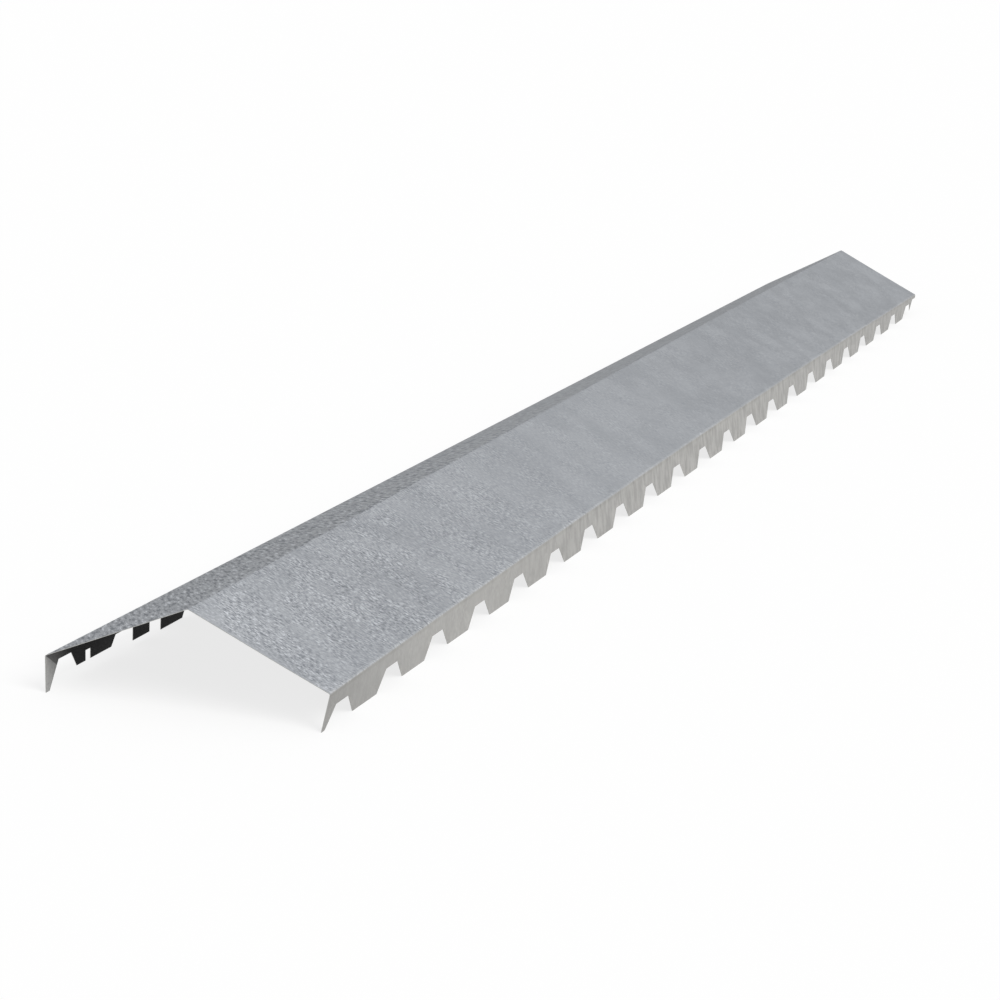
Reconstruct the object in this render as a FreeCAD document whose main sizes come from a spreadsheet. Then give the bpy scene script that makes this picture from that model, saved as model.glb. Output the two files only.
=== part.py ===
import FreeCAD, Part
import math
import os

import Sketcher

# Roof ridge cap: one strip of zinc-coated steel sheet, folded along the ridge
# and again along both edges. Each flange below an edge fold is cut into a comb
# that stands over the ribs of a trapezoidal roof sheet. The left flange also has
# two slits near its near end, one in its first whole tooth and one in its second.
# At the far end both flanges are cut back on a slant, nearly up to the fold.
#
# Frame: X across the ridge, Y along it, Z up. The origin is midway along the
# cap, under the ridge, at the level of the tooth tips.

NODE = "ridge_cap"

# Driving sizes, in millimetres and degrees. Those of the section are measured
# on its outer face, between the sharp corners that the folds round off.
SIZES = (
    ("cap_length", 3000, "length along the ridge"),
    ("sheet_thickness", 0.5, "steel with its zinc coat"),
    ("wing_width", 150, "ridge corner to edge corner, down the slope"),
    ("wing_slope", 24, "fall of each wing from level, degrees"),
    ("flange_height", 35, "edge corner to tooth tip, down the flange"),
    ("flange_lean", 3, "lean of each flange under its wing, degrees"),
    ("ridge_fold_radius", 3, "inner radius of the fold along the ridge"),
    ("edge_fold_radius", 1.5, "inner radius of the folds above the flanges"),
    ("rib_pitch", 137.5, "spacing of the roof sheet's ribs"),
    ("first_rib", 44, "near end of the cap to the middle of its first notch"),
    ("notch_depth", 20, "tooth tip to notch top, down the flange"),
    ("notch_top_width", 32.5, "notch width over the crown of a rib"),
    ("notch_mouth_width", 72.5, "notch width at the tooth tips"),
    ("narrow_slit_width", 11, "width of the narrow slit in the left flange"),
    ("narrow_slit_offset", 48, "middle of the first notch to the middle of that slit"),
    ("wide_slit_width", 28, "width of the wide slit in the left flange"),
    ("end_cut_top", 25, "far end to the start of the slant that cuts both flanges back"),
    ("end_cut_foot", 43, "far end to the foot of that slant, at the tooth tips"),
    ("end_cut_drop", 8, "edge corner down to the top of that cut, upright"),
)

# Sizes that follow from the driving ones.
DERIVED = (
    ("half_span", "=wing_width * cos(wing_slope * 1 deg)", "ridge to edge corner, level"),
    ("wing_rise", "=wing_width * sin(wing_slope * 1 deg)", "edge to ridge corner, upright"),
    ("edge_level", "=flange_height * cos(flange_lean * 1 deg)", "edge corner above the tips"),
    ("notch_level", "=notch_depth * cos(flange_lean * 1 deg)", "notch top above the tips"),
    ("side_run", "=(notch_mouth_width - notch_top_width) / 2", "spread of one notch side"),
    (
        "notch_count",
        "=floor((cap_length - first_rib - notch_mouth_width / 2) / rib_pitch) + 1",
        "whole notches that fit along the cap",
    ),
    ("narrow_slit_place", "=first_rib + narrow_slit_offset", "near end to the slit's middle"),
    ("wide_slit_place", "=first_rib + 1.5 * rib_pitch", "midway from second to third notch"),
    ("end_cut_level", "=edge_level - end_cut_drop", "top of the end cut above the tips"),
)

# How sketch constraints count: a line's points from one up, and the sketch's
# own level and upright axes from minus one down. The first is also its origin.
START, END = range(1, 3)
H_AXIS, V_AXIS = range(-1, -3, -1)
ORIGIN = H_AXIS

# How far from true an edge may lie and still count as being on a line, in mm.
TRUE = 1e-6

# A fold's inner corner is less than this many walls away from its outer one.
CORNER_REACH = 2


def make_sheet(doc):
    """The spreadsheet: each size's name, its value under that name, and a note."""
    sheet = doc.addObject("Spreadsheet::Sheet", "Sizes")
    for row, (name, value, note) in enumerate(SIZES + DERIVED, start=1):
        sheet.set(f"A{row}", name)
        sheet.set(f"B{row}", str(value))
        sheet.setAlias(f"B{row}", name)
        sheet.set(f"C{row}", note)
    doc.recompute()
    return sheet


def origin_feature(body, role):
    """The plane or axis of the body's own origin that has this role."""
    return next(item for item in body.Origin.OriginFeatures if item.Role == role)


def new_sketch(body, name, plane_role):
    """An empty sketch on one of the body's own planes."""
    sketch = body.newObject("Sketcher::SketchObject", name)
    sketch.AttachmentSupport = [(origin_feature(body, plane_role), "")]
    sketch.MapMode = "FlatFace"
    return sketch


def closed_outline(sketch, corners):
    """Lines from corner to corner and back to the first, joined end to start."""
    lines = []
    for start, end in zip(corners, corners[1:] + corners[:1]):
        lines.append(sketch.addGeometry(Part.LineSegment(start, end)))
    for line, following in zip(lines, lines[1:] + lines[:1]):
        sketch.addConstraint(Sketcher.Constraint("Coincident", line, END, following, START))
    return lines


def drive(sketch, name, expression, *definition):
    """A named dimension of the sketch, driven by the spreadsheet."""
    index = sketch.addConstraint(Sketcher.Constraint(*definition))
    sketch.renameConstraint(index, name)
    sketch.setExpression(f"Constraints.{name}", expression)


def section_corners(sheet):
    """Corners of the folded section, for the sketch to start from.

    The outer face runs from the left tooth tip over the ridge to the right one,
    and the inner face comes back one sheet thickness inside it.
    """
    wall = sheet.sheet_thickness
    slope = math.radians(sheet.wing_slope)
    lean = math.radians(sheet.flange_lean)
    ridge_level = sheet.edge_level + sheet.wing_rise
    tip_x = sheet.half_span - sheet.flange_height * math.sin(lean)
    # An inner corner lies on the line that halves the angle of its fold.
    half_turn = (math.pi / 2 + lean - slope) / 2
    inset = wall / math.cos(half_turn)
    inset_angle = math.pi / 2 - slope - half_turn
    inner_edge_x = sheet.half_span - inset * math.cos(inset_angle)
    inner_edge_z = sheet.edge_level - inset * math.sin(inset_angle)
    inner_ridge = (0, ridge_level - wall / math.cos(slope))
    outer_side = [(sheet.half_span, sheet.edge_level), (tip_x, 0)]
    inner_side = [
        (tip_x - wall * math.cos(lean), wall * math.sin(lean)),
        (inner_edge_x, inner_edge_z),
    ]
    outer = [(-x, z) for x, z in outer_side[::-1]] + [(0, ridge_level)] + outer_side
    inner = inner_side + [inner_ridge] + [(-x, z) for x, z in inner_side[::-1]]
    return [FreeCAD.Vector(x, z, 0) for x, z in outer + inner]


def make_section(body, sheet):
    """The closed outline of the folded sheet, its corners still sharp."""
    sketch = new_sketch(body, "FoldedSection", "XZ_Plane")
    lines = closed_outline(sketch, section_corners(sheet))
    left_flange, left_wing, right_wing, right_flange, right_tip = lines[:5]
    right_flange_in, right_wing_in, left_wing_in, left_flange_in, left_tip = lines[5:]
    legs = (
        ("left_flange", left_flange, left_flange_in),
        ("left_wing", left_wing, left_wing_in),
        ("right_wing", right_wing, right_wing_in),
        ("right_flange", right_flange, right_flange_in),
    )
    # The two faces of each leg are parallel, one sheet thickness apart.
    for name, outer, inner in legs:
        sketch.addConstraint(Sketcher.Constraint("Parallel", outer, inner))
        drive(
            sketch, f"{name}_wall", "Sizes.sheet_thickness",
            "Distance", inner, START, outer, sheet.sheet_thickness,
        )
    # The strip's own edges are cut square, at the tooth tips.
    for tip, flange in ((left_tip, left_flange), (right_tip, right_flange)):
        sketch.addConstraint(Sketcher.Constraint("Perpendicular", tip, flange))
    # Both sides are alike about the upright axis, and the tips are at its foot.
    for left, right in ((left_wing, right_wing), (left_flange, right_flange)):
        sketch.addConstraint(Sketcher.Constraint("Symmetric", left, START, right, END, V_AXIS))
    sketch.addConstraint(Sketcher.Constraint("PointOnObject", left_wing, END, V_AXIS))
    sketch.addConstraint(Sketcher.Constraint("PointOnObject", right_flange, END, H_AXIS))
    drive(
        sketch, "wing", "Sizes.wing_width",
        "Distance", right_wing, sheet.wing_width,
    )
    drive(
        sketch, "span", "Sizes.half_span",
        "DistanceX", ORIGIN, START, right_wing, END, sheet.half_span,
    )
    drive(
        sketch, "flange", "Sizes.flange_height",
        "Distance", right_flange, sheet.flange_height,
    )
    drive(
        sketch, "edge", "Sizes.edge_level",
        "DistanceY", ORIGIN, START, right_wing, END, sheet.edge_level,
    )
    return sketch


def make_strip(body, section):
    """The folded strip at its whole length, halved by the origin."""
    pad = body.newObject("PartDesign::Pad", "FoldedStrip")
    pad.Profile = section
    pad.setExpression("Length", "Sizes.cap_length")
    pad.Midplane = True
    return pad


def edges_along_ridge(shape, x, z, reach):
    """Names of the edges that run along Y no further than reach from this place."""
    names = []
    for index, edge in enumerate(shape.Edges, start=1):
        start, end = edge.Vertexes[0].Point, edge.Vertexes[-1].Point
        run = end - start
        along = math.hypot(run.x, run.z) < TRUE < abs(run.y)
        if along and math.hypot(start.x - x, start.z - z) < reach:
            names.append(f"Edge{index}")
    return names


def round_fold(body, base, name, corner, radius_name, sheet):
    """One fold: its inner corner rounded, and its outer corner a wall wider."""
    around = edges_along_ridge(base.Shape, *corner, CORNER_REACH * sheet.sheet_thickness)
    outermost = edges_along_ridge(base.Shape, *corner, TRUE)
    inside = body.newObject("PartDesign::Fillet", f"{name}Inside")
    inside.Base = (base, [edge for edge in around if edge not in outermost])
    inside.setExpression("Radius", f"Sizes.{radius_name}")
    body.Document.recompute()
    outside = body.newObject("PartDesign::Fillet", f"{name}Outside")
    outside.Base = (inside, edges_along_ridge(inside.Shape, *corner, TRUE))
    outside.setExpression("Radius", f"Sizes.{radius_name} + Sizes.sheet_thickness")
    body.Document.recompute()
    return outside


def fold_strip(body, strip, sheet):
    """The three folds: along the ridge, and above the left and right flange."""
    ridge_level = sheet.edge_level + sheet.wing_rise
    folds = (
        ("RidgeFold", (0, ridge_level), "ridge_fold_radius"),
        ("LeftFold", (-sheet.half_span, sheet.edge_level), "edge_fold_radius"),
        ("RightFold", (sheet.half_span, sheet.edge_level), "edge_fold_radius"),
    )
    folded = strip
    for name, corner, radius_name in folds:
        folded = round_fold(body, folded, name, corner, radius_name, sheet)
    return folded


def make_notch(body, sheet):
    """The first notch, a trapezoid cut square through both flanges at once."""
    sketch = new_sketch(body, "NotchOutline", "YZ_Plane")
    # Its sides run on below the tips by one sheet thickness, on their own slope.
    overrun = sheet.sheet_thickness
    middle = sheet.first_rib - sheet.cap_length / 2
    half_top = sheet.notch_top_width / 2
    full_run = sheet.side_run * (1 + overrun / sheet.notch_level)
    half_foot = half_top + full_run
    corners = [
        FreeCAD.Vector(middle - half_foot, -overrun, 0),
        FreeCAD.Vector(middle - half_top, sheet.notch_level, 0),
        FreeCAD.Vector(middle + half_top, sheet.notch_level, 0),
        FreeCAD.Vector(middle + half_foot, -overrun, 0),
    ]
    near_side, top, far_side, foot = closed_outline(sketch, corners)
    sketch.addConstraint(Sketcher.Constraint("Horizontal", top))
    sketch.addConstraint(Sketcher.Constraint("Horizontal", foot))
    drive(
        sketch, "top_width", "Sizes.notch_top_width",
        "DistanceX", top, START, top, END, sheet.notch_top_width,
    )
    drive(
        sketch, "top_level", "Sizes.notch_level",
        "DistanceY", ORIGIN, START, top, END, sheet.notch_level,
    )
    drive(
        sketch, "overrun", "Sizes.sheet_thickness",
        "DistanceY", far_side, END, ORIGIN, START, overrun,
    )
    run = "Sizes.side_run * (1 + Sizes.sheet_thickness / Sizes.notch_level)"
    for name, side in (("near_run", near_side), ("far_run", far_side)):
        drive(sketch, name, run, "DistanceX", side, START, side, END, full_run)
    drive(
        sketch, "place", "Sizes.cap_length / 2 - Sizes.first_rib + Sizes.notch_top_width / 2",
        "DistanceX", top, START, ORIGIN, START, half_top - middle,
    )
    notch = body.newObject("PartDesign::Pocket", "Notch")
    notch.Profile = sketch
    notch.Type = "ThroughAll"
    notch.Midplane = True
    return notch


def make_comb(body, notch):
    """The notch repeated along the cap, one over each rib of the roof sheet."""
    comb = body.newObject("PartDesign::LinearPattern", "Comb")
    comb.Originals = [notch]
    comb.Direction = (origin_feature(body, "Y_Axis"), [""])
    comb.Mode = "Spacing"
    comb.setExpression("Offset", "Sizes.rib_pitch")
    comb.setExpression("Occurrences", "Sizes.notch_count")
    body.Tip = comb
    return comb


def slit_outline(sketch, sheet, name):
    """One slit, a rectangle as high as the notches, open at the tooth tips."""
    overrun = sheet.sheet_thickness
    width = getattr(sheet, f"{name}_width")
    middle = getattr(sheet, f"{name}_place") - sheet.cap_length / 2
    corners = [
        FreeCAD.Vector(middle - width / 2, -overrun, 0),
        FreeCAD.Vector(middle - width / 2, sheet.notch_level, 0),
        FreeCAD.Vector(middle + width / 2, sheet.notch_level, 0),
        FreeCAD.Vector(middle + width / 2, -overrun, 0),
    ]
    near_side, top, far_side, foot = closed_outline(sketch, corners)
    for level in (top, foot):
        sketch.addConstraint(Sketcher.Constraint("Horizontal", level))
    for upright in (near_side, far_side):
        sketch.addConstraint(Sketcher.Constraint("Vertical", upright))
    drive(
        sketch, f"{name}_width", f"Sizes.{name}_width",
        "DistanceX", top, START, top, END, width,
    )
    drive(
        sketch, f"{name}_top_level", "Sizes.notch_level",
        "DistanceY", ORIGIN, START, top, END, sheet.notch_level,
    )
    drive(
        sketch, f"{name}_overrun", "Sizes.sheet_thickness",
        "DistanceY", far_side, END, ORIGIN, START, overrun,
    )
    drive(
        sketch, f"{name}_place",
        f"Sizes.cap_length / 2 - Sizes.{name}_place + Sizes.{name}_width / 2",
        "DistanceX", top, START, ORIGIN, START, width / 2 - middle,
    )


def make_slits(body, sheet):
    """The two slits, cut from the middle of the cap outwards through the left flange."""
    sketch = new_sketch(body, "SlitOutlines", "YZ_Plane")
    for name in ("narrow_slit", "wide_slit"):
        slit_outline(sketch, sheet, name)
    slits = body.newObject("PartDesign::Pocket", "LeftSlits")
    slits.Profile = sketch
    slits.Type = "ThroughAll"
    slits.Reversed = False
    return slits


def make_end_cut(body, sheet):
    """Both flanges cut back at the far end: level under the fold, then slanting down."""
    sketch = new_sketch(body, "EndCutOutline", "YZ_Plane")
    overrun = sheet.sheet_thickness
    end = sheet.cap_length / 2
    run = (sheet.end_cut_foot - sheet.end_cut_top) * (1 + overrun / sheet.end_cut_level)
    corners = [
        FreeCAD.Vector(end + overrun, -overrun, 0),
        FreeCAD.Vector(end + overrun, sheet.end_cut_level, 0),
        FreeCAD.Vector(end - sheet.end_cut_top, sheet.end_cut_level, 0),
        FreeCAD.Vector(end - sheet.end_cut_top - run, -overrun, 0),
    ]
    outside, top, slant, foot = closed_outline(sketch, corners)
    sketch.addConstraint(Sketcher.Constraint("Vertical", outside))
    sketch.addConstraint(Sketcher.Constraint("Horizontal", top))
    sketch.addConstraint(Sketcher.Constraint("Horizontal", foot))
    drive(
        sketch, "end", "Sizes.cap_length / 2 + Sizes.sheet_thickness",
        "DistanceX", ORIGIN, START, top, START, end + overrun,
    )
    drive(
        sketch, "top_length", "Sizes.end_cut_top + Sizes.sheet_thickness",
        "DistanceX", top, END, top, START, sheet.end_cut_top + overrun,
    )
    drive(
        sketch, "top_level", "Sizes.end_cut_level",
        "DistanceY", ORIGIN, START, top, START, sheet.end_cut_level,
    )
    drive(
        sketch, "overrun", "Sizes.sheet_thickness",
        "DistanceY", slant, END, ORIGIN, START, overrun,
    )
    drive(
        sketch, "run",
        "(Sizes.end_cut_foot - Sizes.end_cut_top) * (1 + Sizes.sheet_thickness / Sizes.end_cut_level)",
        "DistanceX", slant, END, slant, START, run,
    )
    cut = body.newObject("PartDesign::Pocket", "EndCut")
    cut.Profile = sketch
    cut.Type = "ThroughAll"
    cut.Midplane = True
    return cut


def make_cap(doc, sheet):
    """The whole cap as one body: folded strip, comb, the left flange's slits, end cut."""
    body = doc.addObject("PartDesign::Body", "RidgeCap")
    body.Label = NODE
    section = make_section(body, sheet)
    doc.recompute()
    strip = make_strip(body, section)
    doc.recompute()
    folded = fold_strip(body, strip, sheet)
    notch = make_notch(body, sheet)
    doc.recompute()
    comb = make_comb(body, notch)
    doc.recompute()
    one_notch = folded.Shape.Volume - notch.Shape.Volume
    all_notches = folded.Shape.Volume - comb.Shape.Volume
    if one_notch <= 0 or round(all_notches / one_notch) != sheet.notch_count:
        raise RuntimeError("the comb lacks notches")
    slits = make_slits(body, sheet)
    doc.recompute()
    if slits.Shape.Volume >= comb.Shape.Volume:
        raise RuntimeError("the slits cut nothing")
    end_cut = make_end_cut(body, sheet)
    doc.recompute()
    if end_cut.Shape.Volume >= slits.Shape.Volume:
        raise RuntimeError("the end cut removes nothing")
    return body


def check(doc, bodies):
    """Stop if any object of the document failed or a sub-part isn't sound."""
    for item in doc.Objects:
        if "Invalid" in item.State or "Error" in item.State:
            raise RuntimeError(f"{item.Name} failed: {item.State}")
    for body in bodies:
        if body.Shape.isNull() or not body.Shape.isValid():
            raise RuntimeError(f"{body.Label} has no sound shape")
        if len(body.Shape.Solids) != 1:
            raise RuntimeError(f"{body.Label} isn't one solid")


def main():
    doc = FreeCAD.newDocument("RoofRidgeCap")
    sheet = make_sheet(doc)
    bodies = [make_cap(doc, sheet)]
    check(doc, bodies)
    os.makedirs("parts", exist_ok=True)
    for body in bodies:
        body.Shape.exportStep(f"parts/{body.Label}.step")
        box = body.Shape.BoundBox
        print(body.Label, "mm", round(box.XLength, 2), round(box.YLength, 2), round(box.ZLength, 2))
        print("volume", round(body.Shape.Volume), "mm3, notches", sheet.notch_count, "a flange")


main()
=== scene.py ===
import math
from collections import namedtuple
from functools import lru_cache

import bpy
from mathutils import Matrix, Vector, noise


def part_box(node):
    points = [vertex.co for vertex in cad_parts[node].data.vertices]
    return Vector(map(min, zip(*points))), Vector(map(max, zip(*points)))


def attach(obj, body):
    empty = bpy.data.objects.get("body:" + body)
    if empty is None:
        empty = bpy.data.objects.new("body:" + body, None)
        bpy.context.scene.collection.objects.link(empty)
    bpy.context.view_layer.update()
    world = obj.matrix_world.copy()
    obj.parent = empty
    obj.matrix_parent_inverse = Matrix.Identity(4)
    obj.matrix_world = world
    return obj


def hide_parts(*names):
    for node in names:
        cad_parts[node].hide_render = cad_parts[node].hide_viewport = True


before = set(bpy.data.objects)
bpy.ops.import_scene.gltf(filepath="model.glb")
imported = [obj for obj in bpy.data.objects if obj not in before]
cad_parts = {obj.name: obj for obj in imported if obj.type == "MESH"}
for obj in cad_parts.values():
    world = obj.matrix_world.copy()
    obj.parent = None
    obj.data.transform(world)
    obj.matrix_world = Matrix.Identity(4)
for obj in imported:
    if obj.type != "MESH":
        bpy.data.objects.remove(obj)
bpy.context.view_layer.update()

# Roof ridge cap: one strip of zinc-coated sheet, folded along the ridge and
# above its two notched flanges. X across the ridge, Y along it, Z up, metres.
# A side is -1 on the left and 1 on the right.

MM = 0.001
NODE = "ridge_cap"
BODY = "root"
near_corner, far_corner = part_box(NODE)
NEAR_END = near_corner.y
FAR_END = far_corner.y
CAP_LENGTH = FAR_END - NEAR_END

# The folded section, measured on its outer face between sharp corners.
SHEET = 0.5 * MM
WING_WIDTH = 150 * MM
WING_SLOPE = math.radians(24)
FLANGE_HEIGHT = 35 * MM
FLANGE_LEAN = math.radians(3)
RIDGE_RADIUS = 3 * MM + SHEET
EDGE_RADIUS = 1.5 * MM + SHEET

# The comb of each flange.
RIB_PITCH = 137.5 * MM
FIRST_RIB = 44 * MM
NOTCH_DEPTH = 20 * MM
NOTCH_TOP = 32.5 * MM
NOTCH_MOUTH = 72.5 * MM
NOTCH_COUNT = int((CAP_LENGTH - FIRST_RIB - NOTCH_MOUTH / 2) / RIB_PITCH) + 1

# Two slits in the left flange, as (middle from the near end, width), and the cut
# that takes both flanges back at the far end.
LEFT_SLITS = ((92 * MM, 11 * MM), (250.25 * MM, 28 * MM))
END_CUT_TOP = 25 * MM
END_CUT_FOOT = 43 * MM
END_CUT_DROP = 8 * MM

# Thin sheet never folds dead straight. The ridge fold bows to the left and runs off
# that way towards the far end. The edge folds draw in towards the ridge in mid-length
# and waver, the wings sag towards the far end and bulge a little, and the right flange
# tucks in under its wing at both ends and springs out between. A bow peaks beyond
# mid-length where its PEAK is over 1, and short of it where that is under 1.
RIDGE_BOW = 4.5 * MM
RIDGE_BOW_PEAK = 1.15
RIDGE_DRIFT = 3.0 * MM
FOLD_BOW = {-1: 3.0 * MM, 1: 6.8 * MM}
BOW_PEAK = 0.93
FOLD_WAVER = 0.5 * MM
WAVER_LENGTH = 210 * MM
SAG = {-1: 12.5 * MM, 1: 5.0 * MM}
SAG_GROWTH = {-1: 1.0, 1: 4.0}
TUCK_AT_ENDS = {-1: 0.0 * MM, 1: 3.3 * MM}
SPRING_BETWEEN = {-1: 0.0 * MM, 1: 4.9 * MM}
WING_BULGE = 0.5 * MM
BULGE_LENGTH = 260 * MM
BULGE_WIDTH = 90 * MM

# The near end of the right wing is cut a little out of square.
NEAR_SKEW = 4.5 * MM

# Places that follow from these sizes.
HALF_SPAN = WING_WIDTH * math.cos(WING_SLOPE)
EDGE_LEVEL = FLANGE_HEIGHT * math.cos(FLANGE_LEAN)
RIDGE_LEVEL = EDGE_LEVEL + WING_WIDTH * math.sin(WING_SLOPE)
RIDGE_TOP = RIDGE_LEVEL - RIDGE_RADIUS * (1 / math.cos(WING_SLOPE) - 1)
TIP_X = HALF_SPAN - FLANGE_HEIGHT * math.sin(FLANGE_LEAN)
NOTCH_LEVEL = NOTCH_DEPTH * math.cos(FLANGE_LEAN)
NOTCH_RUN = (NOTCH_MOUTH - NOTCH_TOP) / 2
END_CUT_LEVEL = EDGE_LEVEL - END_CUT_DROP
END_CUT_RUN = END_CUT_FOOT - END_CUT_TOP
FANG_TIP = 0.5 * MM

# Names under which each point keeps how far down past the edge fold it lies, and
# whether it is in the left half: 1 there, 0 in the right one, a half on the ridge.
PAST_FOLD = "past_fold"
LEFT_HALF = "left_half"

# How finely each stretch of the sheet is divided, down the section and along it. The
# second wing row and the last hold the shading of the folds close to them.
RIDGE_STEPS = 4
WING_SHARES = (0, 0.004, *(step / 16 for step in range(1, 16)), 0.99)
WING_STEPS = len(WING_SHARES)
FOLD_STEPS = 8
UPPER_BAND_STEPS = 2
LOWER_BAND_STEPS = 4
TOOTH_STEPS = 4
CELL_LENGTH = 9 * MM
SHARP_EDGE = math.radians(35)

# Rows of points down the section: the end cut's top, the notch tops, the tips.
CUT_ROW = RIDGE_STEPS + WING_STEPS + FOLD_STEPS + UPPER_BAND_STEPS
NOTCH_ROW = CUT_ROW + LOWER_BAND_STEPS
TIP_ROW = NOTCH_ROW + TOOTH_STEPS

# A notch or slit: where its top starts and ends from the near end, how far its near and
# far sides lean away from it by the level that the tips stand on, and its top's row.
Gap = namedtuple("Gap", "start end near_run far_run top_row")

# The edge between two stretches: its place at the ridge, how far off that it stands at
# the comb, and from which row down it slants, by how much at the tips' level.
Edge = namedtuple("Edge", "place shift top_row run")

# A stretch of the sheet along the cap, with points down to last_row or tip_level.
Stretch = namedtuple("Stretch", "near far last_row tip_level")

# The left comb is cut unevenly over its first 340 mm: these gaps stand in for the even
# ones there, and the teeth before them end at these levels.
UNEVEN_GAPS = (
    Gap(27.75 * MM, 55 * MM, 20 * MM, 20 * MM, CUT_ROW + 1),
    Gap(86.5 * MM, 97.5 * MM, 0, 0, NOTCH_ROW),
    Gap(155 * MM, 196 * MM, 20 * MM, 0, NOTCH_ROW),
    Gap(236.25 * MM, 264.25 * MM, 0, 0, NOTCH_ROW),
    Gap(335 * MM, 340 * MM, 16 * MM, 15 * MM, NOTCH_ROW),
)
UNEVEN_TIPS = (0, 10 * MM, 10 * MM, 4.5 * MM, 0)


def lerp(start, end, share):
    return start + (end - start) * share


def share_along(y):
    """How far along the cap a place is: 0 at the near end, 1 at the far end."""
    return min(1, max(0, (y - NEAR_END) / CAP_LENGTH))


def ridge_line(y):
    """How far left of the middle the ridge fold runs, at this place along the cap."""
    along = share_along(y)
    return RIDGE_BOW * math.sin(math.pi * along**RIDGE_BOW_PEAK) + RIDGE_DRIFT * along


def fold_line(side, y):
    """How far out and at what level the edge fold runs, at this place along the cap."""
    along = share_along(y)
    waver = FOLD_WAVER * noise.noise(Vector((5 * side, y / WAVER_LENGTH, 0)))
    bow = (FOLD_BOW[side] + waver) * math.sin(math.pi * along**BOW_PEAK)
    width = WING_WIDTH - bow
    slope = WING_SLOPE + SAG[side] * along ** SAG_GROWTH[side] / WING_WIDTH
    return Vector((width * math.cos(slope), RIDGE_LEVEL - width * math.sin(slope)))


def tip_line(side, y):
    """How far the tooth tips stand from the middle of the cap, at this place."""
    return TIP_X - TUCK_AT_ENDS[side] + SPRING_BETWEEN[side] * math.sin(math.pi * share_along(y))


def bulge(side, y, share):
    """How far the wing stands inside its flat plane, share of the way down it."""
    across = side * (1 + share * WING_WIDTH / BULGE_WIDTH)
    patch = noise.noise(Vector((across, y / BULGE_LENGTH, 0)))
    return WING_BULGE * (1 + patch) / 2 * math.sin(math.pi * share)


@lru_cache(maxsize=None)
def half_section(side, y):
    """Outer face of one half at this place along the cap: a point a row down to the
    notch tops, then one at a tooth tip.

    Each point is (distance from the middle, level, distance down past the edge fold).
    """
    ridge = Vector((-side * ridge_line(y), RIDGE_LEVEL))
    corner = fold_line(side, y)
    down = (corner - ridge).normalized()
    slope = math.atan2(-down.y, down.x)
    inward = Vector((-math.sin(slope), -math.cos(slope)))
    tip = Vector((tip_line(side, y), 0))
    flange = (tip - corner).normalized()

    points = []
    centre = Vector((ridge.x, RIDGE_TOP - RIDGE_RADIUS))
    for step in range(RIDGE_STEPS):
        turn = slope * step / RIDGE_STEPS
        points.append(centre + RIDGE_RADIUS * Vector((math.sin(turn), math.cos(turn))))

    half_turn = down.angle(flange) / 2
    tangent = EDGE_RADIUS * math.tan(half_turn)
    wing_start = centre - RIDGE_RADIUS * inward
    wing_end = corner - down * tangent
    for share in WING_SHARES:
        points.append(lerp(wing_start, wing_end, share) + inward * bulge(side, y, share))

    centre = wing_end + inward * EDGE_RADIUS
    for step in range(FOLD_STEPS):
        turn = math.pi / 2 - slope - 2 * half_turn * step / FOLD_STEPS
        points.append(centre + EDGE_RADIUS * Vector((math.cos(turn), math.sin(turn))))

    band_start = corner + flange * tangent
    # The left notches grow shallower with the flange, and the right ones keep their level.
    notch_top = lerp(tip, corner, NOTCH_LEVEL / (EDGE_LEVEL if side < 0 else corner.y))
    cut_top = lerp(corner, notch_top, END_CUT_DROP / (EDGE_LEVEL - NOTCH_LEVEL))
    for step in range(UPPER_BAND_STEPS):
        points.append(lerp(band_start, cut_top, step / UPPER_BAND_STEPS))
    for step in range(LOWER_BAND_STEPS):
        points.append(lerp(cut_top, notch_top, step / LOWER_BAND_STEPS))
    points += [notch_top, tip]

    middle = RIDGE_STEPS + WING_STEPS + FOLD_STEPS / 2
    rows = []
    for row, place in enumerate(points):
        past = math.copysign((place - corner).length, row - middle)
        rows.append(Vector((place.x, place.y, past)))
    return rows


def even_gaps(side):
    """One flange's notches and slits, evenly spaced, from the near end on.

    Where the left flange has a slit the right one has the middle of a tooth.
    """
    found = []
    for rib in range(NOTCH_COUNT):
        start = FIRST_RIB + rib * RIB_PITCH - NOTCH_TOP / 2
        found.append(Gap(start, start + NOTCH_TOP, NOTCH_RUN, NOTCH_RUN, NOTCH_ROW))
    for middle, width in LEFT_SLITS:
        top_row = NOTCH_ROW if side < 0 else TIP_ROW
        found.append(Gap(middle - width / 2, middle + width / 2, 0, 0, top_row))
    return sorted(found)


def stretches(side):
    """The teeth, notches and slits of one flange in turn, and what the end cut leaves.

    At the ridge both sides are divided at the same places.
    """
    even = even_gaps(side)
    uneven = UNEVEN_GAPS if side < 0 else ()
    cut_gaps = [*uneven, *even[len(uneven):]]
    tips = UNEVEN_TIPS if side < 0 else ()
    found = []
    before = Edge(NEAR_END, 0, TIP_ROW, 0)
    for number, (level, gap) in enumerate(zip(even, cut_gaps)):
        near = Edge(NEAR_END + level.start, gap.start - level.start, gap.top_row, -gap.near_run)
        far = Edge(NEAR_END + level.end, gap.end - level.end, gap.top_row, gap.far_run)
        found.append(Stretch(before, near, TIP_ROW, tips[number] if number < len(tips) else 0))
        found.append(Stretch(near, far, gap.top_row, 0))
        before = far
    cut = Edge(FAR_END - END_CUT_TOP, 0, CUT_ROW, -END_CUT_RUN)
    found.append(Stretch(before, cut, TIP_ROW, fang_level(before, cut)))
    found.append(Stretch(cut, Edge(FAR_END, 0, TIP_ROW, 0), CUT_ROW, 0))
    return found


def fang_level(near, far):
    """The level at which two slanting edges have come within a fang's tip of each other."""
    near_slant = near.run / NOTCH_LEVEL
    far_slant = far.run / END_CUT_LEVEL
    foot = (far.place + far.run) - (near.place + near.run)
    return (FANG_TIP - foot) / (near_slant - far_slant)


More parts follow.
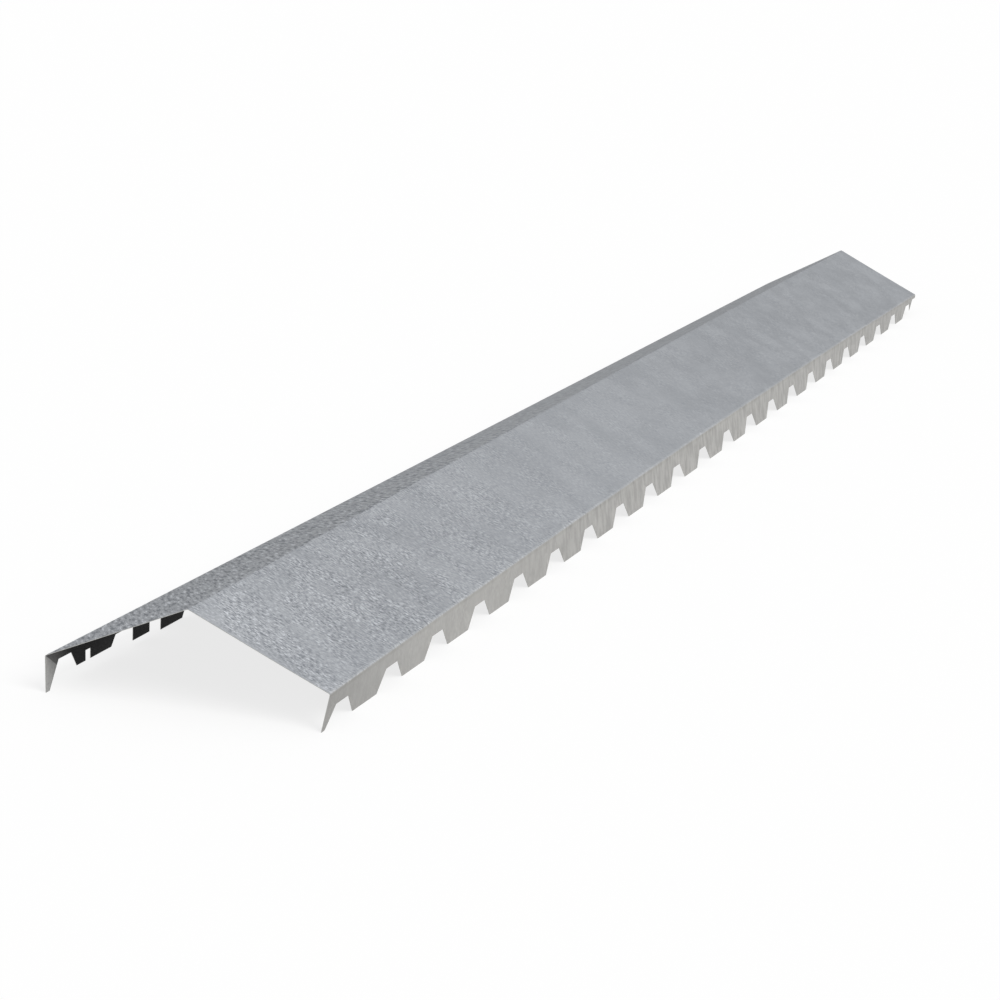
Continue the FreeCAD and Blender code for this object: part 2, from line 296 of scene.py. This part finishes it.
def level_of(stretch, row):
    """The level that a row from the end cut's top down lies on, in this stretch."""
    if row <= NOTCH_ROW:
        return lerp(END_CUT_LEVEL, NOTCH_LEVEL, (row - CUT_ROW) / LOWER_BAND_STEPS)
    return lerp(NOTCH_LEVEL, stretch.tip_level, (row - NOTCH_ROW) / TOOTH_STEPS)


def place_of(stretch, edge, row):
    """Where along the cap an edge of this stretch lies on a row."""
    place = edge.place + edge.shift * min(1, row / CUT_ROW)
    if row > edge.top_row:
        place += edge.run * (1 - level_of(stretch, row) / level_of(stretch, edge.top_row))
    return place


def near_skew(side, y, x, z, past):
    """How much further along a point lies where the near end is cut out of square."""
    if side < 0:
        return 0
    across = x / HALF_SPAN if past < 0 else z / EDGE_LEVEL
    return NEAR_SKEW * across * max(0, 1 - (y - NEAR_END) / (FIRST_RIB - NOTCH_TOP / 2))


def build_sheet():
    """The outer face of the whole cap: points, four-sided faces, and what each point keeps."""
    points, faces, past_fold, left_half, known = [], [], [], [], {}

    def point(side, stretch, row, share):
        """Index of the point on this row, made once and shared by its neighbours."""
        near, far = place_of(stretch, stretch.near, row), place_of(stretch, stretch.far, row)
        place = lerp(near, far, share)
        key = (side if row else 0, row, round(place / MM, 4))
        if key not in known:
            rows = half_section(side, place)
            if row > NOTCH_ROW:
                x, z, past = lerp(rows[-1], rows[NOTCH_ROW], level_of(stretch, row) / NOTCH_LEVEL)
            else:
                x, z, past = rows[row]
            known[key] = len(points)
            points.append((side * x, place + near_skew(side, place, x, z, past), z))
            past_fold.append(past)
            left_half.append((1 - side) / 2 if row else 0.5)
        return known[key]

    for side in (-1, 1):
        for stretch in stretches(side):
            cells = math.ceil((stretch.far.place - stretch.near.place) / CELL_LENGTH)
            for cell in range(cells):
                near, far = cell / cells, (cell + 1) / cells
                for row in range(stretch.last_row):
                    corners = [
                        point(side, stretch, row, near), point(side, stretch, row + 1, near),
                        point(side, stretch, row + 1, far), point(side, stretch, row, far),
                    ]
                    faces.append(corners if side > 0 else corners[::-1])
    return points, faces, {PAST_FOLD: past_fold, LEFT_HALF: left_half}


def make_cap(outer, cut, under):
    """The cap with its sheet thickness: its outer face, cut edges and underside."""
    points, faces, kept = build_sheet()
    mesh = bpy.data.meshes.new("folded_sheet")
    mesh.from_pydata(points, [], faces)
    for name, values in kept.items():
        mesh.attributes.new(name, "FLOAT", "POINT").data.foreach_set("value", values)
    cap = bpy.data.objects.new("folded_sheet", mesh)
    bpy.context.scene.collection.objects.link(cap)
    for finish in (outer, cut, under):
        mesh.materials.append(finish)

    thicken = cap.modifiers.new("thickness", "SOLIDIFY")
    thicken.thickness = SHEET
    thicken.offset = -1
    thicken.use_even_offset = True
    thicken.material_offset_rim = 1
    thicken.material_offset = 2
    bpy.context.view_layer.update()
    thickened = cap.evaluated_get(bpy.context.evaluated_depsgraph_get())
    solid = bpy.data.meshes.new_from_object(thickened)
    cap.modifiers.clear()
    cap.data = solid
    # The cut edges stop at the ends and at the level that the tips stand on.
    for vertex in solid.vertices:
        vertex.co.y = min(FAR_END, max(NEAR_END, vertex.co.y))
        vertex.co.z = max(0, vertex.co.z)
    solid.polygons.foreach_set("use_smooth", [True] * len(solid.polygons))
    solid.set_sharp_from_angle(angle=SHARP_EDGE)
    return cap


class Nodes:
    """Short calls for building one material's node tree."""

    def __init__(self, name):
        self.material = bpy.data.materials.new(name)
        self.material.use_nodes = True
        self.tree = self.material.node_tree
        self.shader = self.tree.nodes["Principled BSDF"]

    def add(self, kind, settings=(), **sockets):
        """A node with these properties, and each named socket set or linked."""
        node = self.tree.nodes.new(kind)
        for name, value in dict(settings).items():
            setattr(node, name, value)
        for name, value in sockets.items():
            self.feed(node.inputs[name.replace("_", " ")], value)
        return node

    def feed(self, socket, value):
        if isinstance(value, bpy.types.NodeSocket):
            self.tree.links.new(value, socket)
        else:
            socket.default_value = value

    def math(self, operation, first, second=0.0):
        node = self.tree.nodes.new("ShaderNodeMath")
        node.operation = operation
        self.feed(node.inputs[0], first)
        self.feed(node.inputs[1], second)
        return node.outputs[0]

    def times(self, first, *others):
        """The product of these numbers."""
        for other in others:
            first = self.math("MULTIPLY", first, other)
        return first

    def attribute(self, name):
        return self.add("ShaderNodeAttribute", {"attribute_name": name}).outputs["Fac"]

    def remap(self, value, low, high, out_low, out_high):
        """value carried smoothly from low..high to out_low..out_high."""
        node = self.add("ShaderNodeMapRange", {"interpolation_type": "SMOOTHSTEP"})
        for socket, number in zip(node.inputs[:5], (value, low, high, out_low, out_high)):
            self.feed(socket, number)
        return node.outputs[0]

    def blend(self, share, first, second, how="MIX"):
        node = self.tree.nodes.new("ShaderNodeMix")
        node.data_type = "RGBA"
        node.blend_type = how
        self.feed(node.inputs[0], share)
        self.feed(node.inputs[6], first)
        self.feed(node.inputs[7], second)
        return node.outputs[2]

    def tint(self, share, base, colour):
        """base multiplied by this share of the colour."""
        return self.blend(share, base, colour, "MULTIPLY")

    def noise(self, place, size, detail=2.0, roughness=0.5, turn=0.0):
        """Noise whose patches have this size along X, Y and Z, turned about Z."""
        laid = self.add(
            "ShaderNodeMapping", {"vector_type": "TEXTURE"},
            Vector=place, Rotation=(0, 0, turn), Scale=size,
        )
        node = self.add(
            "ShaderNodeTexNoise",
            Vector=laid.outputs[0], Scale=1.0, Detail=detail, Roughness=roughness,
        )
        return node.outputs[0]

    def between(self, share, first, second):
        """The number this share of the way from first to second."""
        return self.math("ADD", first, self.times(share, self.math("SUBTRACT", second, first)))


# The wings' zinc grey carries a painted sky-blue tint for the sky light from above, and the
# flanges' grey a painted warm tint for the warm light on them.
WING_GREY_PAINTED_SKY_TINT = (0.330, 0.344, 0.366, 1)
WING_DARK_GREY_PAINTED_SKY_TINT = (0.288, 0.302, 0.324, 1)
FLANGE_GREY_PAINTED_WARM_TINT = (0.384, 0.379, 0.367, 1)
FLANGE_DARK_GREY_PAINTED_WARM_TINT = (0.354, 0.349, 0.337, 1)
# Underneath, the zinc grey shows only in a painted lit patch by the near end, and elsewhere painted
# shade deepens inward.
UNDER_ZINC = (0.34, 0.34, 0.335, 1)
UNDER_SHADE = (0.14, 0.14, 0.138, 1)
UNDER_PAINTED_DEEP_SHADE = (0.025, 0.025, 0.026, 1)
FLECK_DARK = (0.46, 0.475, 0.50, 1)
FLECK_LIGHT = (1.76, 1.75, 1.74, 1)
STROKE_DARK = (0.46, 0.475, 0.50, 1)
STROKE_LIGHT = (1.68, 1.67, 1.66, 1)
# A painted highlight along the edge folds.
PAINTED_FOLD_HIGHLIGHT = (1.16, 1.15, 1.13, 1)
GRAIN = (0.78, 0.78, 0.78, 1)
DARKER_TINT = (0.92, 0.92, 0.91, 1)
EDGE_TINT = (0.40, 0.42, 0.44, 1)
SHEARED_STEEL = (0.30, 0.30, 0.29, 1)
SMEARED_ZINC = (0.55, 0.55, 0.53, 1)

# Patch sizes along X, Y and Z. The fleck lies across the cap, and in longer slanting
# strokes on the left wing.
CLOUD_SIZE = (70 * MM, 70 * MM, 70 * MM)
STREAK_SIZE = (40 * MM, 24 * MM, 30 * MM)
GRAIN_SIZE = (26 * MM, 10 * MM, 26 * MM)
MOTTLE_SIZE = (26 * MM, 40 * MM, 26 * MM)
FLECK_SIZE = (4.0 * MM, 2.5 * MM, 4.0 * MM)
STROKE_SIZE = (42 * MM, 3.2 * MM, 1000 * MM)
STROKE_TURN = math.radians(-64.2)
FLECK_PATCH = (45 * MM, 45 * MM, 45 * MM)
PEEL_SIZE = (11 * MM, 11 * MM, 11 * MM)
SMEAR_SIZE = (4 * MM, 4 * MM, 4 * MM)

# Stretches along the cap over which its look changes, and over which painted light and shade grow
# or fade.
FLECK_FADES = (NEAR_END + 0.25, NEAR_END + 1.25)
STROKES_FADE = (NEAR_END + 0.4, NEAR_END + 1.8)
GRAIN_GROWS = (NEAR_END + 0.5, NEAR_END + 0.9)
MOTTLE_GROWS = (NEAR_END + 0.9, NEAR_END + 2.1)
# Painted light on the wings near the near end, and painted shade growing towards the far end.
WING_PAINTED_LIGHT_STRIP = (NEAR_END, NEAR_END + 0.35)
WING_PAINTED_SHADE_GROWS = (NEAR_END + 0.4, NEAR_END + 2.4)
# Painted shade on the flanges' near strip, painted light growing along their middle, and painted
# shade growing towards the far end.
FLANGE_PAINTED_SHADE_STRIP = (NEAR_END, NEAR_END + 0.3)
FLANGE_PAINTED_LIGHT_GROWS = (NEAR_END + 0.3, NEAR_END + 1.4)
FLANGE_PAINTED_SHADE_GROWS = (NEAR_END + 1.7, FAR_END)
# Painted shade on the whole left wing, which faces away from the lamp.
LEFT_WING_PAINTED_SHADE = 0.85

# The same, as distances in from an end. Underneath, the painted shade deepens inward, and the
# painted lit patch lies below a painted shadow edge that falls by this slant from the near end's
# edge fold.
FLECK_STARTS = (2 * MM, 11 * MM)
UNDER_PAINTED_SHADE_DEEPENS = (15 * MM, 60 * MM)
PAINTED_LIT_PATCH = (30 * MM, 45 * MM)
PAINTED_SHADOW_SLANT = 0.6


def wing_colour(n, place, along, clouds):
    """Grey clouds with a painted sky-blue tint, mottled towards the far end."""
    zinc = n.blend(n.remap(clouds, 0.36, 0.64, 0.0, 1.0), WING_DARK_GREY_PAINTED_SKY_TINT, WING_GREY_PAINTED_SKY_TINT)
    mottle = n.remap(n.noise(place, MOTTLE_SIZE, 3.0, 0.6), 0.35, 0.65, 0.0, 1.0)
    return n.tint(n.times(mottle, n.remap(along, *MOTTLE_GROWS, 0.0, 0.45)), zinc, GRAIN)


def flange_colour(n, place, along):
    """Grey with a painted warm tint and streaks, and an upright grain away from the near end."""
    streaks = n.noise(place, STREAK_SIZE, 3.0, 0.6)
    warm = n.blend(n.remap(streaks, 0.25, 0.75, 0.0, 1.0), FLANGE_DARK_GREY_PAINTED_WARM_TINT, FLANGE_GREY_PAINTED_WARM_TINT)
    grain = n.remap(n.noise(place, GRAIN_SIZE, 3.0, 0.65), 0.38, 0.62, 1.0, 0.0)
    return n.tint(n.times(grain, n.remap(along, *GRAIN_GROWS, 0.25, 1.0)), warm, GRAIN)


def painted_light_and_shade(n, along, flange, left_wing):
    """Painted light and shade: wings lighter near the near end and darker towards the far end,
    flanges darker at the near end, lighter in their middle and darker towards the far end, and
    painted shade on the left wing.
    """
    wing_painted_light = n.times(
        n.remap(along, *WING_PAINTED_LIGHT_STRIP, 1.11, 1.0),
        n.remap(along, *WING_PAINTED_SHADE_GROWS, 1.0, 0.925),
        n.between(left_wing, 1.0, LEFT_WING_PAINTED_SHADE),
    )
    flange_painted_light = n.times(
        n.remap(along, *FLANGE_PAINTED_SHADE_STRIP, 0.80, 0.955),
        n.remap(along, *FLANGE_PAINTED_LIGHT_GROWS, 1.0, 1.065),
        n.remap(along, *FLANGE_PAINTED_SHADE_GROWS, 1.0, 0.955),
    )
    return n.between(flange, wing_painted_light, flange_painted_light)


def fleck_strength(n, place, along, flange):
    """Strongest on the wings near the near end, faint on flanges and beside cut ends."""
    from_end = n.math("SUBTRACT", CAP_LENGTH / 2, n.math("ABSOLUTE", along))
    return n.times(
        n.remap(n.noise(place, FLECK_PATCH, 2.0), 0.35, 0.62, 0.45, 1.0),
        n.remap(flange, 0.0, 1.0, 1.0, 0.2),
        n.remap(from_end, *FLECK_STARTS, 0.35, 1.0),
        n.remap(along, *FLECK_FADES, 1.0, 0.34),
    )


def brush(n, base, place, along, left_wing):
    """Slanting strokes over the left wing's fleck, fainter beyond the near part."""
    strokes = n.noise(place, STROKE_SIZE, 2.0, 0.6, STROKE_TURN)
    brushed = n.times(left_wing, n.remap(along, *STROKES_FADE, 1.0, 0.5))
    base = n.tint(n.times(n.remap(strokes, 0.36, 0.50, 1.0, 0.0), brushed), base, STROKE_DARK)
    return n.tint(n.times(n.remap(strokes, 0.54, 0.68, 0.0, 1.0), brushed), base, STROKE_LIGHT)


def paint_fold_highlight(n, base, past_fold):
    """A painted highlight along the edge folds, with a thin darker line just below it."""
    # The band of the painted highlight on the edge folds.
    fold_highlight = n.times(n.remap(past_fold, -3.5 * MM, -1.5 * MM, 0.0, 1.0),
                     n.remap(past_fold, -0.2 * MM, 0.8 * MM, 1.0, 0.0))
    darker_line = n.times(n.remap(past_fold, 0.4 * MM, 1.4 * MM, 0.0, 1.0),
                    n.remap(past_fold, 2.4 * MM, 5.0 * MM, 1.0, 0.0))
    return n.tint(darker_line, n.tint(fold_highlight, base, PAINTED_FOLD_HIGHLIGHT), DARKER_TINT)


def galvanised_finish():
    """Zinc coat: cloudy wings with a painted sky-blue tint and a fine fleck, and plainer flanges
    with a painted warm tint.
    """
    n = Nodes("galvanised_zinc")
    place = n.add("ShaderNodeTexCoord").outputs["Object"]
    along = n.add("ShaderNodeSeparateXYZ", Vector=place).outputs["Y"]
    past_fold = n.attribute(PAST_FOLD)
    flange = n.remap(past_fold, -1.0 * MM, 1.5 * MM, 0.0, 1.0)
    left_wing = n.times(n.attribute(LEFT_HALF), n.math("SUBTRACT", 1.0, flange))
    clouds = n.noise(place, CLOUD_SIZE, 3.0, 0.55)
    fleck = n.noise(place, FLECK_SIZE, 2.0, 0.6)
    strength = fleck_strength(n, place, along, flange)

    base = n.blend(flange, wing_colour(n, place, along, clouds), flange_colour(n, place, along))
    # Painted light and shade along the cap and on the left wing.
    base = n.tint(1.0, base, painted_light_and_shade(n, along, flange, left_wing))
    base = n.tint(n.times(n.remap(fleck, 0.34, 0.50, 0.9, 0.0), strength), base, FLECK_DARK)
    base = n.tint(n.times(n.remap(fleck, 0.52, 0.70, 0.0, 0.95), strength), base, FLECK_LIGHT)
    base = brush(n, base, place, along, left_wing)
    # A painted highlight along the edge folds.
    n.feed(n.shader.inputs["Base Color"], paint_fold_highlight(n, base, past_fold))

    n.shader.inputs["Metallic"].default_value = 0.25
    n.shader.inputs["Specular IOR Level"].default_value = 0.3
    n.shader.inputs["Specular Tint"].default_value = EDGE_TINT
    sheen = n.remap(clouds, 0.35, 0.70, 0.46, 0.58)
    n.feed(n.shader.inputs["Roughness"], n.math("ADD", sheen, n.times(fleck, 0.08)))

    # A slight peel under the fleck.
    peel = n.noise(place, PEEL_SIZE, 3.0, 0.6)
    wavy = n.add("ShaderNodeBump", Height=peel, Distance=4 * MM, Strength=n.times(strength, 0.25))
    relief = n.add(
        "ShaderNodeBump",
        Height=fleck, Distance=0.8 * MM, Strength=n.times(strength, 0.8), Normal=wavy.outputs[0],
    )
    n.feed(n.shader.inputs["Normal"], relief.outputs[0])
    return n.material


def underside_finish():
    """The coat underneath in painted shade that deepens inward, with a painted lit patch beside the
    near end's corners.
    """
    n = Nodes("underside_zinc")
    place = n.add("ShaderNodeTexCoord").outputs["Object"]
    _, along, level = n.add("ShaderNodeSeparateXYZ", Vector=place).outputs
    clouds = n.noise(place, CLOUD_SIZE, 4.0, 0.6)
    fleck = n.noise(place, FLECK_SIZE, 2.0)
    inland = n.math("SUBTRACT", along, NEAR_END)
    # Painted shade, deepening inward from the near end.
    base = n.blend(n.remap(inland, *UNDER_PAINTED_SHADE_DEEPENS, 0.0, 1.0), UNDER_SHADE, UNDER_PAINTED_DEEP_SHADE)
    # Painted light: a lit patch below a painted shadow edge that slants down from the near end's
    # edge fold.
    drop = n.math("SUBTRACT", EDGE_LEVEL, level)
    past_slant = n.math("SUBTRACT", drop, n.times(inland, PAINTED_SHADOW_SLANT))
    bare = n.times(n.remap(past_slant, -0.3 * MM, 0.5 * MM, 0.0, 1.0),
                   n.remap(inland, *PAINTED_LIT_PATCH, 1.0, 0.0))
    base = n.blend(bare, base, UNDER_ZINC)
    base = n.tint(n.remap(clouds, 0.35, 0.65, 0.2, 0.0), base, DARKER_TINT)
    base = n.tint(n.remap(fleck, 0.38, 0.50, 0.2, 0.0), base, FLECK_DARK)
    n.feed(n.shader.inputs["Base Color"], base)
    n.shader.inputs["Metallic"].default_value = 0.1
    n.shader.inputs["Specular IOR Level"].default_value = 0.1
    n.feed(n.shader.inputs["Roughness"], n.remap(clouds, 0.3, 0.7, 0.58, 0.68))
    relief = n.add("ShaderNodeBump", Height=fleck, Distance=0.4 * MM, Strength=0.4)
    n.feed(n.shader.inputs["Normal"], relief.outputs[0])
    return n.material


def cut_finish():
    """The sheared edge: bare bright steel with zinc smeared over it."""
    n = Nodes("sheared_edge")
    place = n.add("ShaderNodeTexCoord").outputs["Object"]
    smear = n.noise(place, SMEAR_SIZE, 2.0)
    n.feed(n.shader.inputs["Base Color"], n.blend(smear, SHEARED_STEEL, SMEARED_ZINC))
    n.shader.inputs["Metallic"].default_value = 0.7
    n.shader.inputs["Roughness"].default_value = 0.45
    return n.material


# The camera stands where the photograph was taken from.
CAMERA_PLACE = Vector((1.0479, -4.0853, 0.7947))
CAMERA_TURN = math.radians(-16.47)
CAMERA_DIP = math.radians(11.85)
CAMERA_ROLL = math.radians(3.47)
CAMERA_LENS = 115.6


def make_camera():
    forward = Vector((
        math.sin(CAMERA_TURN) * math.cos(CAMERA_DIP),
        math.cos(CAMERA_TURN) * math.cos(CAMERA_DIP),
        -math.sin(CAMERA_DIP),
    ))
    level = Vector((math.cos(CAMERA_TURN), -math.sin(CAMERA_TURN), 0))
    upright = level.cross(forward)
    right = math.cos(CAMERA_ROLL) * level + math.sin(CAMERA_ROLL) * upright
    up = -math.sin(CAMERA_ROLL) * level + math.cos(CAMERA_ROLL) * upright
    lens = bpy.data.cameras.new("photo_camera")
    lens.lens = CAMERA_LENS
    lens.clip_end = 200
    camera = bpy.data.objects.new("photo_camera", lens)
    bpy.context.scene.collection.objects.link(camera)
    turn = Matrix((right, up, -forward)).transposed().to_4x4()
    camera.matrix_world = Matrix.Translation(CAMERA_PLACE) @ turn
    bpy.context.scene.camera = camera


def seen_directly(nodes, links):
    """1 for rays from the camera, a reflection or clear glass, and 0 for the light's own."""
    path = nodes.new("ShaderNodeLightPath")
    seen = path.outputs["Is Camera Ray"]
    for kind in ("Is Glossy Ray", "Is Transmission Ray"):
        either = nodes.new("ShaderNodeMath")
        either.operation = "MAXIMUM"
        links.new(seen, either.inputs[0])
        links.new(path.outputs[kind], either.inputs[1])
        seen = either.outputs[0]
    return seen


FLOOR_SIZE = 80
FLOOR_COLOUR = (0.98, 0.98, 0.98, 1)
FLOOR_WHITE = 0.8
WHITE = (1, 1, 1, 1)


def make_floor():
    """A plain pale floor: partly its lit colour with the object's shadow, partly white."""
    mesh = bpy.data.meshes.new("floor")
    half = FLOOR_SIZE / 2
    mesh.from_pydata(
        [(-half, -half, 0), (half, -half, 0), (half, half, 0), (-half, half, 0)], [], [(0, 1, 2, 3)]
    )
    floor = bpy.data.objects.new("floor", mesh)
    bpy.context.scene.collection.objects.link(floor)
    n = Nodes("pale_floor")
    n.shader.inputs["Base Color"].default_value = FLOOR_COLOUR
    n.shader.inputs["Roughness"].default_value = 1
    n.shader.inputs["Specular IOR Level"].default_value = 0
    nodes, links = n.tree.nodes, n.tree.links
    white = n.add("ShaderNodeEmission", Color=WHITE, Strength=1.0)
    share = n.times(seen_directly(nodes, links), FLOOR_WHITE)
    mix = nodes.new("ShaderNodeMixShader")
    links.new(share, mix.inputs[0])
    links.new(n.shader.outputs[0], mix.inputs[1])
    links.new(white.outputs[0], mix.inputs[2])
    links.new(mix.outputs[0], nodes["Material Output"].inputs["Surface"])
    mesh.materials.append(n.material)


SKY_STRENGTH = 0.52
SKY_COLOUR = (0.98, 0.99, 1.0, 1)
KEY_STRENGTH = 2.35
KEY_COLOUR = (1.0, 0.99, 0.975)
KEY_TURN = math.radians(62)
KEY_HEIGHT = math.radians(40)
KEY_SPREAD = math.radians(40)


def make_light():
    """An even sky all round, white to the camera, and one broad soft lamp from the right."""
    world = bpy.data.worlds.new("studio")
    bpy.context.scene.world = world
    world.use_nodes = True
    nodes, links = world.node_tree.nodes, world.node_tree.links
    soft = nodes["Background"]
    soft.inputs["Color"].default_value = SKY_COLOUR
    soft.inputs["Strength"].default_value = SKY_STRENGTH
    backdrop = nodes.new("ShaderNodeBackground")
    backdrop.inputs["Color"].default_value = WHITE
    backdrop.inputs["Strength"].default_value = 1
    mix = nodes.new("ShaderNodeMixShader")
    links.new(seen_directly(nodes, links), mix.inputs[0])
    links.new(soft.outputs[0], mix.inputs[1])
    links.new(backdrop.outputs[0], mix.inputs[2])
    links.new(mix.outputs[0], nodes["World Output"].inputs[0])

    key = bpy.data.lights.new("key", "SUN")
    key.energy = KEY_STRENGTH
    key.color = KEY_COLOUR
    key.angle = KEY_SPREAD
    lamp = bpy.data.objects.new("key", key)
    bpy.context.scene.collection.objects.link(lamp)
    towards = Vector((
        math.sin(KEY_TURN) * math.cos(KEY_HEIGHT),
        -math.cos(KEY_TURN) * math.cos(KEY_HEIGHT),
        math.sin(KEY_HEIGHT),
    ))
    lamp.rotation_euler = towards.to_track_quat("Z", "Y").to_euler()


cap = make_cap(galvanised_finish(), cut_finish(), underside_finish())
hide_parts(NODE)
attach(cap, BODY)
make_floor()
make_light()
make_camera()

bpy.context.scene.view_settings.view_transform = "Standard"
